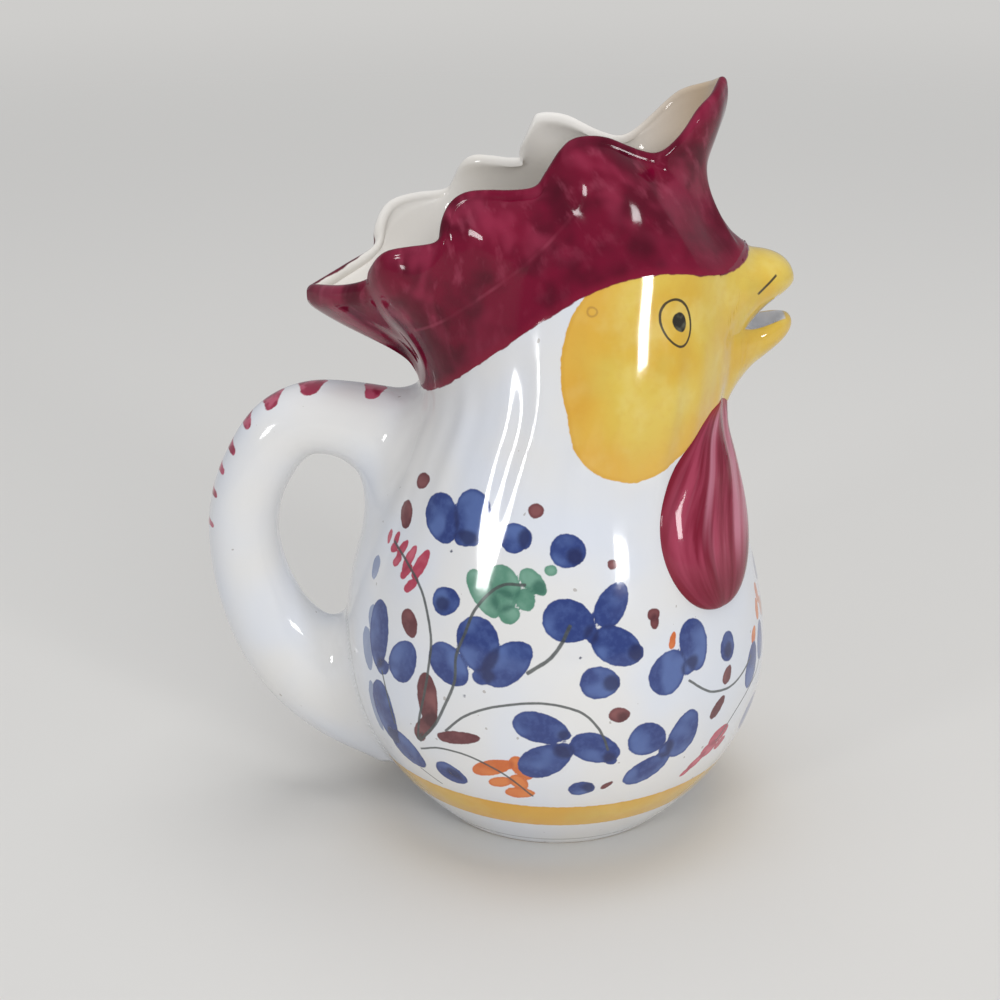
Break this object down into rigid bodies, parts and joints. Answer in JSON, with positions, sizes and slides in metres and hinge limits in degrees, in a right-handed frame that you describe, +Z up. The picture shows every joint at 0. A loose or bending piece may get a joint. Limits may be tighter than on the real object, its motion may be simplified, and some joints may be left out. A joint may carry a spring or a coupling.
{
  "type": "pitcher",
  "caption": "Glazed earthenware pitcher in the shape of a rooster, with a lobed comb for its rim, an open beak, two wattles and a loop handle.",
  "frame": {"origin": "middle of the foot ring's resting face, on the table", "axes": "+Z up, +X towards the beak, +Y towards the bird's left side; the handle points along -X"},
  "size_m": [0.158, 0.1168, 0.204],
  "materials": {
    "painted_glaze": "gloss white tin glaze with brushed flowers",
    "white_glaze": "gloss white tin glaze",
    "comb_glaze": "gloss crimson brushwork under clear glaze",
    "beak_glaze": "gloss yellow brushwork under clear glaze",
    "wattle_glaze": "gloss crimson brushwork under clear glaze"
  },
  "bodies": {
    "root": {"body_shell": "painted_glaze", "foot_ring": "white_glaze", "comb_crown": "comb_glaze", "upper_beak": "beak_glaze", "lower_beak": "beak_glaze", "right_wattle": "wattle_glaze", "left_wattle": "wattle_glaze", "handle": "white_glaze"}
  },
  "joints": []
}
